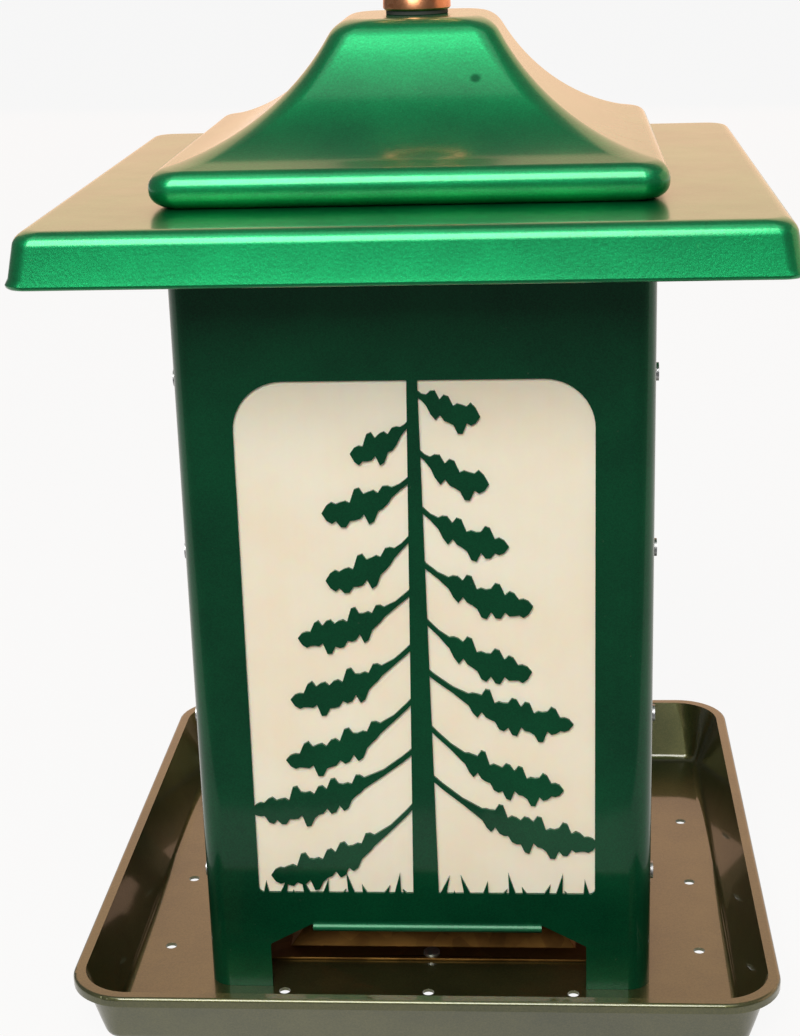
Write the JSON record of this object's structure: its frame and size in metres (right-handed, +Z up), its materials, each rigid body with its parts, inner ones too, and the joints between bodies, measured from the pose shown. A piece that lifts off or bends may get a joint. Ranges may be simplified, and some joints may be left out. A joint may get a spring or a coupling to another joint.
{
  "type": "bird feeder",
  "caption": "Square sheet-metal hopper bird feeder with pierced conifer windows over cream panes, feed ports on a drained tray, and a lift-off ogee roof with a hanging eye.",
  "frame": {"origin": "centre of the tray's flat underside, on the surface that the feeder stands on", "axes": "+Z up the tie rod, -Y out of the front face, +X to the right seen from the front"},
  "size_m": [0.239, 0.248, 0.3745],
  "materials": {
    "roof_green": "glossy metallic green enamel under clear coat",
    "body_green": "glossy deep metallic green enamel under clear coat",
    "tray_green": "glossy dark green enamel",
    "pane_cream": "translucent cream sheet",
    "zinc_steel": "zinc plated",
    "gold_zinc": "yellow passivated zinc plate",
    "rivet_alloy": "plain",
    "copper_cast": "polished copper-coloured plate",
    "seal_rubber": "matt black"
  },
  "bodies": {
    "hopper": {"tray": "tray_green", "tie_rod": "zinc_steel", "bridge_bar": "zinc_steel", "bridge_rivets": "rivet_alloy", "bridge_washer": "zinc_steel", "bridge_nut": "zinc_steel", "base_washer": "zinc_steel", "base_nut": "zinc_steel", "seed_baffle": "gold_zinc", "baffle_rivets": "rivet_alloy", "leg_brackets": "zinc_steel", "bracket_rivets": "rivet_alloy", "seam_rivets": "rivet_alloy", "front_panel": "body_green", "front_pane": "pane_cream", "front_pane_channel": "zinc_steel", "right_panel": "body_green", "right_pane": "pane_cream", "right_pane_channel": "zinc_steel", "back_panel": "body_green", "back_pane": "pane_cream", "back_pane_channel": "zinc_steel", "left_panel": "body_green", "left_pane": "pane_cream", "left_pane_channel": "zinc_steel"},
    "roof": {"roof_plate": "roof_green", "roof_dome": "roof_green", "roof_collar": "zinc_steel", "roof_rivets": "rivet_alloy", "crown_seal": "seal_rubber"},
    "eye": {"hanging_eye": "copper_cast"}
  },
  "joints": [
    {"name": "roof_lift", "type": "slide", "parent": "hopper", "child": "roof", "axis": [0, 0, 1], "range_m": [0, 0.12]},
    {"name": "eye_turn", "type": "hinge", "parent": "roof", "child": "eye", "pos_m": [0, 0, 0.34], "axis": [0, 0, 1], "continuous": true}
  ]
}
